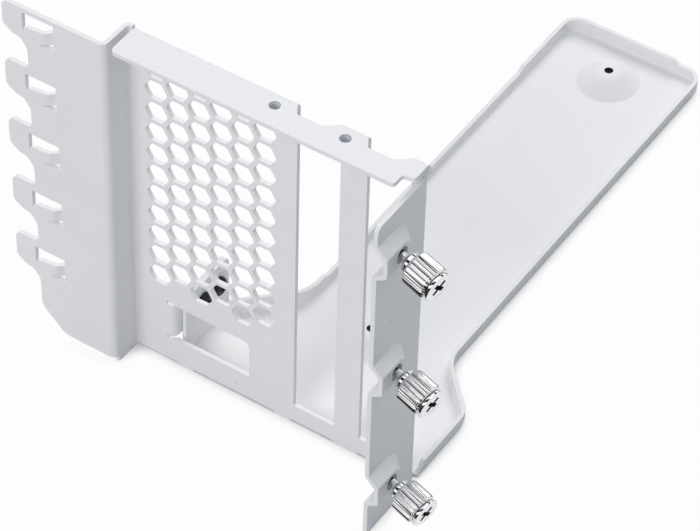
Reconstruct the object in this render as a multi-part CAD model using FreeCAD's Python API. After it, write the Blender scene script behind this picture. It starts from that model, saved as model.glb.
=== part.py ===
import FreeCAD, Part

import math
import os

from FreeCAD import Vector

# A bracket that carries an expansion card on its side, in millimetres.
# +X runs right along the rear plate as seen from outside the case,
# +Y goes into the case and +Z is up. The origin is midway between the two
# card screw holes, on the top face of the flange.

# Sheet stock
sheet = 1.2
bend_inner = 0.8
relief = 0.6

# Card screw line, which places everything else
card_pitch = 20.32
card_hole_r = 1.5
card_hole_setback = 3.5

# Rear plate
plate_height = 113.3
plate_left_margin = 45.9
plate_right_margin = 21.2
plate_foot = 0.6
shoulder_drop = 4.0
window_offset = 4.36
window_width = 12.66
window_sill = 6.4
window_corner = 0.5
nub_runs = ((13.4, 18.6), (43.9, 49.6), (62.5, 70.6))

# Top flange
flange_depth = 10.2
flange_gap = 1.85
flange_corner = 1.5
flange_step_back = 3.9
flange_step_run = 3.2
notch_depth = 3.1
notch_left_run = 1.8
notch_right_run = 3.4
notch_corner = 0.8
notch_right_corner = 2.5

# Vent of hexagonal holes
vent_columns = 6
vent_rows = 10
vent_column_pitch = 6.54
vent_row_pitch = 7.19
vent_hex_flats = 6.1
vent_corner_cut = 0.6
vent_left_margin = 8.0
vent_foot = 30.7

# Riser window and the tab folded back from its left edge
riser_left = 10.55
riser_width = 25.65
riser_sill = 8.9
riser_height = 12.7
riser_corner = 2.0
riser_foot_corner = 0.8
tab_reach = 23.0
tab_corner = 1.0
tab_gap = 0.1

# Comb plate
comb_offset = 10.0
comb_waist = 23.9
comb_reach = 31.4
comb_foot = 2.5
comb_chamfer_width = 7.4
comb_chamfer_height = 7.2
hook_count = 5
hook_slot_drop = 1.33
hook_rise = 2.3
hook_side = 6.2
hook_belly = 8.6
hook_throat = 11.5
hook_lip_run = 5.4
hook_cut_run = 3.1
hook_cut_drop = 2.1
slot_left = 25.1
slot_right = 15.6
slot_drop = 8.2
tongue_root = 19.6
tongue_left_drop = 4.6
tongue_top_drop = 4.1
tongue_reach = 2.0
tongue_set_back = 2.1
tongue_slit = 0.3

# Screw plate
screw_plate_depth = 21.5
screw_plate_corner = 2.0
screw_plate_foot_corner = 0.6
thumb_pitch = 40.64
thumb_top_drop = 16.0
thumb_setback = 6.6
thumb_hole_r = 2.3
pad_rise = 2.9
pad_flat = 6.2
pad_upper_ramp = 3.0
pad_lower_ramp = 1.8
pad_reach = 13.4
pad_corner = 0.7
pad_hollow_corner = 0.2

# Tray
tray_left = 12.65
tray_near = 2.0
tray_right_inset = 0.6
tray_far = 176.4
arm_left = 29.2
arm_right = 74.3
left_shoulder = 22.0
right_shoulder = 25.6
shoulder_radius = 7.0
arm_root_radius = 10.0
arm_corner = 5.5
rim_low = 4.3
rim_high = 5.4
rim_ramp = 2.0
left_rim_dip_start = 47.0
left_rim_dip_end = 146.5
far_rim_step = 66.0
near_rim_gap = 0.6
near_rim_ramp = 3.0
tray_bend_outer = 1.9
wall_start = 3.1
wall_end = 23.0
wall_height = 22.0
wall_corner = 2.0
boss_x = 51.1
boss_near = 36.0
boss_far = 161.0
boss_height = 4.0
boss_base_r = 9.2
boss_top_r = 3.4
boss_hole_r = 1.3
boss_top_bend = 3.0
boss_foot_bend = 0.3

# Tray screws
tray_screw_r = 1.45
tray_screw_clearance = 0.03
tray_screw_hole_r = 1.6
tray_screw_head_r = 2.8
tray_screw_head_height = 1.8
tray_screw_chamfer = 0.8
tray_screw_point = 1.6
tray_screw_front = 10.7
tray_screw_pitch = 7.0
tray_screw_height = 15.3

# Thumb screws, which droop in their oversize holes toward the near lower corner
thumb_tilt = 15.0
thumb_lean = 45.0
thumb_contact = 0.05
thumb_neck_r = 1.2
thumb_neck_out = 2.6
thumb_collar_r = 2.9
thumb_collar_length = 1.8
thumb_head_r = 4.6
thumb_head_length = 7.2
thumb_groove_r = 3.7
thumb_groove_length = 0.4
thumb_cap_r = 4.2
thumb_cap_length = 0.9
thumb_edge = 0.4
thumb_ribs = 22
thumb_rib_depth = 0.55
thumb_rib_flat = 0.5
thumb_rib_slope = 0.25
thumb_keeper_r = 2.6
thumb_keeper_length = 0.8
thumb_thread_r = 1.7
thumb_thread_length = 3.0
cross_length = 4.6
cross_width = 1.2
cross_depth = 1.0

# Places worked out from the sizes
plate_x0 = -card_pitch / 2 - plate_left_margin
plate_x1 = card_pitch / 2 + plate_right_margin
plate_front = card_hole_setback
plate_back = plate_front + sheet
plate_mid = plate_front + sheet / 2
base_z = -plate_height
shoulder_z = -shoulder_drop
bend_outer = bend_inner + sheet
comb_front = plate_front - comb_offset
comb_mid = comb_front + sheet / 2
web_mid = plate_x0 - sheet / 2
comb_right = plate_x0 - bend_outer
flange_x0 = plate_x0 + flange_gap
flange_near = plate_front - flange_depth
screw_near = plate_front - screw_plate_depth
screw_mid = plate_x1 - sheet / 2
tab_face = plate_x0 + tray_left - tab_gap
over = 5.0

PLAN = (Vector(1, 0, 0), Vector(0, 1, 0), Vector(0, 0, 1))
FRONT = (Vector(1, 0, 0), Vector(0, 0, 1), Vector(0, 1, 0))
SIDE = (Vector(0, 1, 0), Vector(0, 0, 1), Vector(1, 0, 0))


def lay(plane, a, b, level=0.0):
    """Put a flat point at its place in space."""
    along, across, normal = plane
    return along * a + across * b + normal * level


def rounded_wire(corners, plane, level=0.0):
    """Close an outline whose corners are (a, b) or (a, b, radius)."""
    points = [Vector(c[0], c[1], 0) for c in corners]
    radii = [c[2] if len(c) > 2 else 0.0 for c in corners]
    count = len(points)
    entries = []
    exits = []
    middles = []
    for i in range(count):
        here = points[i]
        back = (points[i - 1] - here).normalize()
        ahead = (points[(i + 1) % count] - here).normalize()
        if radii[i] <= 0.0:
            entries.append(here)
            exits.append(here)
            middles.append(None)
            continue
        half = math.acos(max(-1.0, min(1.0, back.dot(ahead)))) / 2
        run = radii[i] / math.tan(half)
        centre = here + (back + ahead).normalize() * (radii[i] / math.sin(half))
        entries.append(here + back * run)
        exits.append(here + ahead * run)
        middles.append(centre + (here - centre).normalize() * radii[i])
    edges = []
    for i in range(count):
        if middles[i] is not None:
            stops = [lay(plane, p.x, p.y, level) for p in (entries[i], middles[i], exits[i])]
            edges.append(Part.Arc(*stops).toShape())
        start = exits[i]
        end = entries[(i + 1) % count]
        if (end - start).Length > 1e-6:
            edges.append(Part.makeLine(lay(plane, start.x, start.y, level), lay(plane, end.x, end.y, level)))
    return Part.Wire(edges)


def prism(corners, plane, start, end):
    """Extrude a rounded outline from one level of its plane to another."""
    return Part.Face(rounded_wire(corners, plane, start)).extrude(plane[2] * (end - start))


def ribbon(path, inner=bend_inner, gauge=sheet):
    """Outline of a folded sheet whose mid line follows points (a, b) or (a, b, inner radius)."""
    points = [Vector(p[0], p[1], 0) for p in path]
    inners = [p[2] if len(p) > 2 else inner for p in path]
    turns = [(points[i + 1] - points[i]).normalize() for i in range(len(points) - 1)]
    left = []
    right = []
    for i, point in enumerate(points):
        before = turns[max(i - 1, 0)]
        after = turns[min(i, len(turns) - 1)]
        normal = Vector(-before.y - after.y, before.x + after.x, 0).normalize()
        stretch = gauge / 2 / normal.dot(Vector(-after.y, after.x, 0))
        bend = before.x * after.y - before.y * after.x
        left_r = 0.0
        right_r = 0.0
        if abs(bend) > 1e-6:
            left_r = inners[i] if bend > 0 else inners[i] + gauge
            right_r = inners[i] + gauge if bend > 0 else inners[i]
        left.append((point.x + normal.x * stretch, point.y + normal.y * stretch, left_r))
        right.append((point.x - normal.x * stretch, point.y - normal.y * stretch, right_r))
    return left + right[::-1]


def box(x0, x1, y0, y1, z0, z1):
    """Axis-aligned block between two corners."""
    return Part.makeBox(x1 - x0, y1 - y0, z1 - z0, Vector(x0, y0, z0))


def drill(radius, start, axis, length):
    """Cylinder that leaves a round hole."""
    return Part.makeCylinder(radius, length, start, axis)


def fuse(shapes):
    """Join overlapping or touching solids into one."""
    return shapes[0].fuse(shapes[1:]).removeSplitter()


def window_edges():
    """Left edge of each card window."""
    return [side * card_pitch / 2 + window_offset for side in (-1, 1)]


def thumb_heights():
    """Height of each thumb screw hole."""
    return [-thumb_top_drop - thumb_pitch * i for i in range(3)]


def folded_walls():
    """The web, the rear plate and the bends at its ends."""
    path = [
        (comb_right, comb_mid),
        (web_mid, comb_mid),
        (web_mid, plate_mid),
        (screw_mid, plate_mid),
        (screw_mid, plate_front - bend_inner),
    ]
    walls = prism(ribbon(path), PLAN, base_z, 0)
    flange_seat = box(flange_x0 - relief, plate_x1 + over, comb_front, plate_back + over, shoulder_z, over)
    comb_bend_foot = box(comb_right - over, plate_x0 + over, comb_front - over, comb_front + bend_outer,
                         base_z - over, base_z + comb_foot)
    plate_sole = box(comb_right - over, plate_x1 - bend_outer, comb_front - over, plate_back + over,
                     base_z - over, base_z + plate_foot)
    return walls.cut([flange_seat, comb_bend_foot, plate_sole])


def plate_nubs():
    """Three shallow nubs that bring the plate's lower edge down to the tray's level."""
    nubs = []
    for start, end in nub_runs:
        x0 = plate_x0 + start
        x1 = plate_x0 + end
        top = base_z + plate_foot
        nubs.append(prism([(x0, top), (x0 + plate_foot, base_z), (x1 - plate_foot, base_z), (x1, top)],
                          FRONT, plate_front, plate_back))
    return nubs


def flange():
    """Top flange with its bend, rounded and stepped in plan."""
    leg = prism(ribbon([(plate_mid, shoulder_z), (plate_mid, -sheet / 2), (flange_near, -sheet / 2)]),
                SIDE, flange_x0, plate_x1)
    step_x = plate_x1 - flange_step_run
    step_y = flange_near + flange_step_back
    outline = [
        (flange_x0, flange_near, flange_corner),
        (step_x, flange_near, 1.0),
        (step_x, step_y, 0.8),
        (plate_x1, step_y + 0.5, 0.8),
        (plate_x1, plate_back + over),
        (flange_x0, plate_back + over),
    ]
    shape = leg.common(prism(outline, PLAN, shoulder_z - over, over))
    corner_slit = box(plate_x1 - bend_outer - relief, plate_x1 + over, plate_front - over, plate_back + over,
                      shoulder_z - over, shoulder_z + relief)
    holes = [drill(card_hole_r, Vector(side * card_pitch / 2, 0, over), Vector(0, 0, -1), 2 * over)
             for side in (-1, 1)]
    return shape.cut([corner_slit] + holes)


def card_windows():
    """Openings for the card's plate, run out through the bend into the flange."""
    cuts = []
    for x0 in window_edges():
        x1 = x0 + window_width
        sill = base_z + window_sill
        cuts.append(prism([(x0, sill, window_corner), (x1, sill, window_corner), (x1, over), (x0, over)],
                          FRONT, plate_front, plate_back + over))
        notch = [
            (x0, plate_back + over),
            (x0, plate_front),
            (x0 + notch_left_run, plate_front - notch_depth, notch_corner),
            (x1 - notch_right_run, plate_front - notch_depth, notch_right_corner),
            (x1, plate_front, notch_corner),
            (x1, plate_back + over),
        ]
        cuts.append(prism(notch, PLAN, -bend_outer, over))
    return cuts


def vent_holes():
    """Staggered hexagonal holes, flat side up, their corners cut short."""
    side = vent_hex_flats / math.sqrt(3)
    reach = math.hypot(vent_hex_flats / 2, side / 2 - vent_corner_cut)
    half = math.degrees(math.atan2(side / 2 - vent_corner_cut, vent_hex_flats / 2))
    turns = [60 * i + 30 + lean for i in range(6) for lean in (-half, half)]
    holes = []
    for column in range(vent_columns):
        odd = column % 2
        x = plate_x0 + vent_left_margin + vent_column_pitch * column
        for row in range(vent_rows + 1 - odd):
            z = base_z + vent_foot + vent_row_pitch * (row + 0.5 * odd)
            corners = [(x + reach * math.cos(math.radians(turn)),
                        z + reach * math.sin(math.radians(turn))) for turn in turns]
            holes.append(prism(corners, FRONT, plate_front - over / 2, plate_back + over))
    return holes


def riser_window():
    """Opening for the riser, with bend reliefs at its left corners."""
    x0 = plate_x0 + riser_left
    x1 = x0 + riser_width
    z0 = base_z + riser_sill
    z1 = z0 + riser_height
    hole = prism([(x0, z0), (x1, z0, riser_foot_corner), (x1, z1, riser_corner), (x0, z1)], FRONT, plate_front - 1, plate_back + 1)
    lower = box(x0 - relief, tab_face, plate_front - 1, plate_back + 1, z0 - relief, z0 + relief)
    upper = box(x0 - relief, tab_face, plate_front - 1, plate_back + 1, z1 - relief, z1 + relief)
    return [hole, lower, upper]


def tray_screw_places():
    """Depth of each tray screw behind the plate's front face."""
    return [plate_front + tray_screw_front + tray_screw_pitch * i for i in range(2)]


def rear_tab():
    """Tab folded back from the riser window, tapped for the tray screws."""
    x_mid = tab_face - sheet / 2
    z0 = base_z + riser_sill + relief
    z1 = base_z + riser_sill + riser_height - relief
    bend = prism(ribbon([(plate_x0 + riser_left - relief, plate_mid), (x_mid, plate_mid),
                         (x_mid, plate_back + bend_inner)]), PLAN, z0, z1)
    y0 = plate_back + bend_inner
    y1 = plate_front + tab_reach
    leaf = prism([(y0, z0), (y1, z0, tab_corner), (y1, z1, tab_corner), (y0, z1)], SIDE, tab_face - sheet, tab_face)
    holes = [drill(tray_screw_r + tray_screw_clearance, Vector(tab_face - over, y, base_z + tray_screw_height),
                   Vector(1, 0, 0), 2 * over) for y in tray_screw_places()]
    return bend.fuse(leaf).cut(holes)


def comb_outline():
    """Front view of the comb plate: five hooks over a chamfered foot."""
    waist = plate_x0 - comb_waist
    tip = plate_x0 - comb_reach
    slot_0 = -hook_slot_drop
    outline = [(comb_right, 0)]
    for k in range(hook_count):
        z = slot_0 - card_pitch * k
        top = z + hook_rise if k else 0
        if k:
            outline.append((waist, top, 1.6))
        outline += [
            (tip, top, 1.9),
            (tip, z - hook_side, 2.0),
            (tip + hook_cut_run, z - hook_side - hook_cut_drop, 1.8),
            (tip + hook_lip_run, z - hook_belly, 2.6),
            (waist, z - hook_throat, 3.0),
        ]
    foot = base_z + comb_foot
    outline += [
        (waist, foot + comb_chamfer_height, 4.0),
        (waist + comb_chamfer_width, foot, 4.0),
        (comb_right, foot),
    ]
    return outline


def hook_slot(z):
    """Slot behind one hook, cut round the tongue."""
    x_left = plate_x0 - slot_left
    x_right = plate_x0 - slot_right
    x_root = plate_x0 - tongue_root
    return prism([
        (x_left, z, 0.4),
        (x_right, z, 0.4),
        (x_right, z - slot_drop, 0.3),
        (x_root - relief, z - slot_drop),
        (x_root - relief, z - slot_drop + tongue_slit),
        (x_root, z - slot_drop + tongue_slit),
        (x_root, z - tongue_top_drop),
        (x_left + 0.9, z - tongue_left_drop, 0.4),
        (x_left, z - tongue_left_drop - 1.6, 0.2),
    ], FRONT, comb_front - 1, comb_front + sheet + 1)


def hook_tongue(z):
    """Free end of the tongue, set back behind the comb plate."""
    x_root = plate_x0 - tongue_root
    path = [
        (x_root - relief, comb_mid),
        (x_root + relief, comb_mid),
        (x_root + relief + tongue_reach, comb_mid + tongue_set_back),
    ]
    return prism(ribbon(path), PLAN, z - slot_drop + tongue_slit, z - tongue_top_drop)


def comb():
    """Comb plate with its slots and tongues."""
    plate = prism(comb_outline(), FRONT, comb_front, comb_front + sheet)
    heights = [-hook_slot_drop - card_pitch * k for k in range(hook_count)]
    plate = plate.cut([hook_slot(z) for z in heights])
    return plate.fuse([hook_tongue(z) for z in heights])


def pad_block(z, inset):
    """Raised pad about one thumb screw hole, with a round far end, or the hollow behind it."""
    shave_up = inset * math.tan(math.atan2(pad_rise, pad_upper_ramp) / 2)
    shave_down = inset * math.tan(math.atan2(pad_rise, pad_lower_ramp) / 2)
    x_top = plate_x1 + pad_rise - inset
    x_foot = plate_x1 - inset
    top = z + pad_flat / 2 - shave_up
    low = z - pad_flat / 2 + shave_down
    corner = max(pad_corner - inset, pad_hollow_corner)
    start = screw_near - inset
    centre = screw_near + pad_reach - pad_flat / 2 - pad_upper_ramp
    foot_r = top + pad_upper_ramp - z
    ridge = prism([
        (x_foot, low - pad_lower_ramp),
        (x_top, low, corner),
        (x_top, top, corner),
        (x_foot, top + pad_upper_ramp),
    ], FRONT, start, centre + foot_r)
    end = Part.Face(rounded_wire([
        (x_foot, centre),
        (x_foot, centre + foot_r),
        (x_top, centre + top - z, corner),
        (x_top, centre),
    ], PLAN, z)).revolve(Vector(x_foot, centre, z), Vector(1, 0, 0), 360)
    reach = box(x_foot, x_top, start, centre, z - 2 * pad_flat, z + 2 * pad_flat)
    return ridge.common(reach.fuse(end))


def screw_plate():
    """Side plate toward the viewer with three raised pads and oversize holes."""
    y1 = plate_front - bend_inner
    top = shoulder_z
    outline = [(screw_near, base_z, screw_plate_foot_corner), (y1, base_z), (y1, top),
               (screw_near, top, screw_plate_corner)]
    plate = prism(outline, SIDE, plate_x1 - sheet, plate_x1)
    plate = plate.fuse([pad_block(z, 0) for z in thumb_heights()])
    plate = plate.cut([pad_block(z, sheet) for z in thumb_heights()])
    holes = [drill(thumb_hole_r, Vector(plate_x1 - over, screw_near + thumb_setback, z), Vector(1, 0, 0), 4 * over)
             for z in thumb_heights()]
    return plate.cut(holes)


def main_bracket():
    """Rear bracket, folded from one sheet."""
    body = fuse([folded_walls(), flange()] + plate_nubs())
    body = body.cut(card_windows() + vent_holes() + riser_window())
    return fuse([body, comb(), screw_plate(), rear_tab()])


def tray_outline(near):
    """Plan of the tray's outer faces, from a given near edge back."""
    left = plate_x0 + tray_left
    right = plate_x1 + tray_right_inset
    a0 = plate_x0 + arm_left
    a1 = plate_x0 + arm_right
    y_left = plate_front + left_shoulder
    y_right = plate_front + right_shoulder
    far = plate_front + tray_far
    return [
        (left, near),
        (left, y_left, shoulder_radius),
        (a0, y_left + a0 - left, arm_root_radius),
        (a0, far, arm_corner),
        (a1, far, arm_corner),
        (a1, y_right + right - a1, arm_root_radius),
        (right, y_right, shoulder_radius),
        (right, near),
    ]


def tray_pan():
    """Floor and rim at full height, with the drawn corner between them."""
    near = plate_front + tray_near
    top = base_z + rim_high
    blank = prism(tray_outline(near), PLAN, base_z, top)
    sole = [e for e in blank.Edges if e.BoundBox.ZMax < base_z + 1e-4 and e.BoundBox.YMax > near + 1e-4]
    blank = blank.makeFillet(tray_bend_outer, sole)
    inner = rounded_wire(tray_outline(near - over), PLAN, base_z + sheet).makeOffset2D(-sheet)
    hollow = Part.Face(inner).extrude(Vector(0, 0, rim_high))
    bed = [e for e in hollow.Edges if e.BoundBox.ZMax < base_z + sheet + 1e-4 and e.BoundBox.YMax > near]
    hollow = hollow.makeFillet(tray_bend_outer - sheet, bed)
    return blank.cut(hollow)


def rim_cuts():
    """Stretches where the rim is lower, with short ramps at their ends."""
    low = base_z + rim_low
    high = base_z + rim_high + 1
    ramp = rim_ramp * (high - low) / (rim_high - rim_low)
    near = plate_front + tray_near
    left = plate_x0 + arm_left
    right = plate_x1 + tray_right_inset
    far = plate_front + tray_far
    y0 = plate_front + left_rim_dip_start
    y1 = plate_front + left_rim_dip_end
    left_dip = prism([(y0 - ramp, high), (y0, low), (y1, low), (y1 + ramp, high)], SIDE, left - over, left + over)
    right_dip = prism([(near - 1, high), (near - 1, base_z + sheet), (near + near_rim_gap, base_z + sheet),
                       (near + near_rim_ramp, low),
                       (far - arm_corner, low), (far - arm_corner, high)],
                      SIDE, plate_x0 + arm_right - over, right + over)
    step = plate_x0 + far_rim_step
    corner_dip = prism([(step - ramp, high), (step, low), (right, low), (right, high)],
                       FRONT, far - arm_corner - 0.01, far + over)
    left_end = box(plate_x0 + tray_left - over, plate_x0 + tray_left + over, near - 1, plate_front + wall_start + 0.01,
                   base_z + sheet, high)
    return [left_dip, right_dip, corner_dip, left_end]


def tray_wall():
    """Tall wall that stands beside the bracket's rear tab."""
    y0 = plate_front + wall_start
    y1 = plate_front + wall_end
    x0 = plate_x0 + tray_left
    z0 = base_z + tray_bend_outer
    z1 = base_z + wall_height
    return prism([(y0, z0), (y1, z0), (y1, z1, wall_corner), (y0, z1, wall_corner)], SIDE, x0, x0 + sheet)


def boss(y):
    """Conical boss pressed up out of the floor, tapped at its top."""
    floor_mid = base_z + sheet / 2
    path = [
        (boss_hole_r, floor_mid + boss_height),
        (boss_top_r, floor_mid + boss_height, boss_top_bend),
        (boss_base_r, floor_mid, boss_foot_bend),
        (boss_base_r + boss_top_r, floor_mid),
    ]
    section = Part.Face(rounded_wire(ribbon(path), FRONT))
    ring = section.revolve(Vector(0, 0, 0), Vector(0, 0, 1), 360)
    ring.translate(Vector(plate_x0 + boss_x, plate_front + y, 0))
    return ring


def support_tray():
    """Tray that carries the card's lower edge, drawn from one sheet."""
    pan = tray_pan().cut(rim_cuts())
    x = plate_x0 + boss_x
    places = (boss_near, boss_far)
    wells = [drill(boss_base_r + boss_top_r, Vector(x, plate_front + y, base_z - over), Vector(0, 0, 1), over + sheet)
             for y in places]
    holes = [drill(tray_screw_hole_r, Vector(plate_x0 + tray_left - over, y, base_z + tray_screw_height),
                   Vector(1, 0, 0), 2 * over) for y in tray_screw_places()]
    return fuse([pan.cut(wells), tray_wall().cut(holes)] + [boss(y) for y in places])


def cross_recess(x, radius):
    """Cross recess sunk into a face that looks along +X."""
    half = radius
    bars = [
        box(x - cross_depth, x + 1, -half, half, -cross_width / 2, cross_width / 2),
        box(x - cross_depth, x + 1, -cross_width / 2, cross_width / 2, -half, half),
    ]
    return bars[0].fuse(bars[1])


def revolved(outline):
    """Turn a half section of (x, radius) corners about the X axis."""
    section = Part.Face(rounded_wire(outline, FRONT))
    return section.revolve(Vector(0, 0, 0), Vector(1, 0, 0), 360)


def tray_screw():
    """Pan head screw along -X, its head seated at x = 0."""
    tail = -2 * sheet - tab_gap - tray_screw_point
    body = revolved([
        (tail, 0),
        (tail, tray_screw_r - 0.4),
        (tail + 0.4, tray_screw_r),
        (0, tray_screw_r),
        (0, tray_screw_head_r),
        (tray_screw_head_height - tray_screw_chamfer, tray_screw_head_r),
        (tray_screw_head_height, tray_screw_head_r - tray_screw_chamfer),
        (tray_screw_head_height, 0),
    ])
    return body.cut(cross_recess(tray_screw_head_height, cross_length / 3))


def knurl(start, length, radius):
    """Ribbed grip with straight grooves all round it."""
    step = 2 * math.pi / thumb_ribs
    marks = (
        (0, radius),
        (thumb_rib_flat, radius),
        (thumb_rib_flat + thumb_rib_slope, radius - thumb_rib_depth),
    )
    corners = []
    for i in range(thumb_ribs):
        for turn, reach in marks:
            angle = step * (i + turn)
            corners.append((reach * math.cos(angle), reach * math.sin(angle)))
    return prism(corners, SIDE, start, start + length)


def thumb_screw():
    """Captive thumb screw along +X, with the hole's centre plane at x = 0."""
    tilt = math.radians(thumb_tilt)
    keeper = (sheet / 2 + thumb_contact + thumb_keeper_r * math.sin(tilt)) / math.cos(tilt)
    keeper_back = -keeper - thumb_keeper_length
    tail = keeper_back - thumb_thread_length
    head = thumb_neck_out + thumb_collar_length
    groove = head + thumb_head_length
    cap = groove + thumb_groove_length
    face = cap + thumb_cap_length
    spindle = revolved([
        (tail, 0),
        (tail, thumb_thread_r - 0.5),
        (tail + 0.5, thumb_thread_r),
        (keeper_back, thumb_thread_r),
        (keeper_back, thumb_keeper_r),
        (-keeper, thumb_keeper_r),
        (-keeper, thumb_neck_r),
        (thumb_neck_out, thumb_neck_r),
        (thumb_neck_out, thumb_collar_r - thumb_edge),
        (thumb_neck_out + thumb_edge, thumb_collar_r),
        (head + thumb_edge, thumb_collar_r),
        (head + thumb_edge, thumb_groove_r),
        (cap, thumb_groove_r),
        (cap, thumb_cap_r),
        (face - thumb_edge, thumb_cap_r),
        (face, thumb_cap_r - thumb_edge),
        (face, 0),
    ])
    screw = spindle.fuse(knurl(head, thumb_head_length, thumb_head_r))
    return screw.cut(cross_recess(face, cross_length / 2))


def placed_thumb_screw(z):
    """A thumb screw hanging in the hole at one height."""
    screw = thumb_screw()
    screw.rotate(Vector(0, 0, 0), Vector(0, 1, 0), thumb_tilt)
    screw.rotate(Vector(0, 0, 0), Vector(1, 0, 0), -thumb_lean)
    screw.translate(Vector(plate_x1 + pad_rise - sheet / 2, screw_near + thumb_setback, z))
    return screw


def placed_tray_screw(y):
    """A tray screw driven through the tall wall into the rear tab."""
    screw = tray_screw()
    screw.translate(Vector(plate_x0 + tray_left + sheet, y, base_z + tray_screw_height))
    return screw


def build():
    """Write every piece as a STEP file of its own."""
    os.makedirs("parts", exist_ok=True)
    pieces = {"main_bracket": main_bracket(), "support_tray": support_tray()}
    for name, y in zip(("front", "rear"), tray_screw_places()):
        pieces["tray_screw_" + name] = placed_tray_screw(y)
    for name, z in zip(("upper", "middle", "lower"), thumb_heights()):
        pieces["thumb_screw_" + name] = placed_thumb_screw(z)
    for name, shape in pieces.items():
        shape.exportStep("parts/" + name + ".step")


build()
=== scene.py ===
"""Looks of the upright card bracket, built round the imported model.

Every size is in metres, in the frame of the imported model: X along the rear plate,
Y into the case and Z up, from the point midway between the two card screws.
"""

import logging
import math
from dataclasses import dataclass
from enum import Enum

import bmesh
import bpy
from mathutils import Matrix, Vector

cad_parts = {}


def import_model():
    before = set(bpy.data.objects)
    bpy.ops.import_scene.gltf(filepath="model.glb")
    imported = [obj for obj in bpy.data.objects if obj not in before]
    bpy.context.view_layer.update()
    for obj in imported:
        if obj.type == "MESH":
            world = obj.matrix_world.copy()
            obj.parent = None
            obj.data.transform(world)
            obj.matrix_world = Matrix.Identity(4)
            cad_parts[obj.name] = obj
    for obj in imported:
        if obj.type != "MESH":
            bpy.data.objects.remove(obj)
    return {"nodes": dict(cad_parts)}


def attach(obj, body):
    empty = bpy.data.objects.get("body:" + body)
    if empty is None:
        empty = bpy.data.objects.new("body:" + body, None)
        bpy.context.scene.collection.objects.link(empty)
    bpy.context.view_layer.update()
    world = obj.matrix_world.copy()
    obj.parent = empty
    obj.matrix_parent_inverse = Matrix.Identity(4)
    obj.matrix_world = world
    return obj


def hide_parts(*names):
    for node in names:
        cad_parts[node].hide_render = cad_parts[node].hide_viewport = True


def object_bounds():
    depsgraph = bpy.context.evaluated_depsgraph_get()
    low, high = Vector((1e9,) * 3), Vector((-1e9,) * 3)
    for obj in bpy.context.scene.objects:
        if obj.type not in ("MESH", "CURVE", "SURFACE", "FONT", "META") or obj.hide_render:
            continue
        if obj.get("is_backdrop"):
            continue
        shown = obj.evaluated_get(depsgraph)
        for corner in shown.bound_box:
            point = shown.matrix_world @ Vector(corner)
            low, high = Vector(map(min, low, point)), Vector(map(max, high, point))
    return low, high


LOG = logging.getLogger("bracket")
Colour = tuple[float, float, float]
Point = tuple[float, float, float]
Feed = bpy.types.NodeSocket | Colour | float
MM = 0.001
WHITE: Colour = (1.0, 1.0, 1.0)


class Slot(Enum):
    """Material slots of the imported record."""

    COAT = "white_coat"
    STEEL = "black_steel"
    CHROME = "bright_chrome"


class Body(Enum):
    """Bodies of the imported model."""

    BRACKET = "bracket"
    UPPER = "thumb_screw_upper_body"
    MIDDLE = "thumb_screw_middle_body"
    LOWER = "thumb_screw_lower_body"


class Nodes:
    """Node tree with short calls that add nodes and feed their inputs."""

    def __init__(self, tree: bpy.types.NodeTree) -> None:
        """Takes the tree that the calls work on.

        Args:
            tree: the node tree.
        """
        self.tree = tree

    def feed(self, target: bpy.types.NodeSocket, value: Feed) -> None:
        """Gives an input a link, a colour or a number.

        Args:
            target: the input.
            value: an output to link, a colour or a number.
        """
        if isinstance(value, bpy.types.NodeSocket):
            self.tree.links.new(value, target)
        elif isinstance(value, tuple):
            target.default_value = (*value, 1.0)
        else:
            target.default_value = value

    def fill(self, node: bpy.types.Node, **values: Feed) -> None:
        """Feeds a node's inputs by name.

        Args:
            node: the node.
            **values: what each input gets, with underscores for spaces in its name.
        """
        for key, value in values.items():
            self.feed(node.inputs[key.replace("_", " ")], value)

    def add(self, kind: str, **settings: object) -> bpy.types.Node:
        """Adds a node.

        Args:
            kind: Blender's name of the node type.
            **settings: properties of the node to set.

        Returns:
            The new node.
        """
        node = self.tree.nodes.new(kind)
        for key, value in settings.items():
            setattr(node, key, value)
        return node

    def maths(self, operation: str, first: Feed, second: Feed) -> bpy.types.NodeSocket:
        """Works out a value from two others.

        Args:
            operation: Blender's name of the operation.
            first: the first value.
            second: the second value.

        Returns:
            The result's socket.
        """
        node = self.add("ShaderNodeMath", operation=operation)
        self.feed(node.inputs[0], first)
        self.feed(node.inputs[1], second)
        return node.outputs[0]

    def span(self, source: bpy.types.NodeSocket, **limits: float) -> bpy.types.NodeSocket:
        """Maps a value from one range to another, each from 0 to 1 unless it is given.

        Args:
            source: the value.
            **limits: ends of the ranges, by name with underscores for spaces.

        Returns:
            The result's socket.
        """
        node = self.add("ShaderNodeMapRange")
        self.fill(node, Value=source, **limits)
        return node.outputs["Result"]

    def blend(self, share: bpy.types.NodeSocket, low: Feed, high: Feed) -> bpy.types.NodeSocket:
        """Mixes two colours.

        Args:
            share: the mask, from 0 to 1.
            low: colour at 0.
            high: colour at 1.

        Returns:
            The colour's socket.
        """
        mix = self.add("ShaderNodeMix", data_type="RGBA")
        self.feed(mix.inputs[0], share)
        self.feed(mix.inputs[6], low)
        self.feed(mix.inputs[7], high)
        return mix.outputs[2]

    def either(
        self,
        share: bpy.types.NodeSocket,
        low: bpy.types.NodeSocket,
        high: bpy.types.NodeSocket,
    ) -> bpy.types.NodeSocket:
        """Mixes two shaders.

        Args:
            share: the mask, from 0 to 1.
            low: shader at 0.
            high: shader at 1.

        Returns:
            The shader's socket.
        """
        mix = self.add("ShaderNodeMixShader")
        for target, source in zip(mix.inputs, (share, low, high)):
            self.feed(target, source)
        return mix.outputs[0]

    def parts(self, place: str) -> bpy.types.Node:
        """Splits a coordinate into its X, Y and Z.

        Args:
            place: name of the texture coordinate.

        Returns:
            The node with the three outputs.
        """
        source = self.add("ShaderNodeTexCoord")
        split = self.add("ShaderNodeSeparateXYZ")
        self.feed(split.inputs[0], source.outputs[place])
        return split


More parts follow.
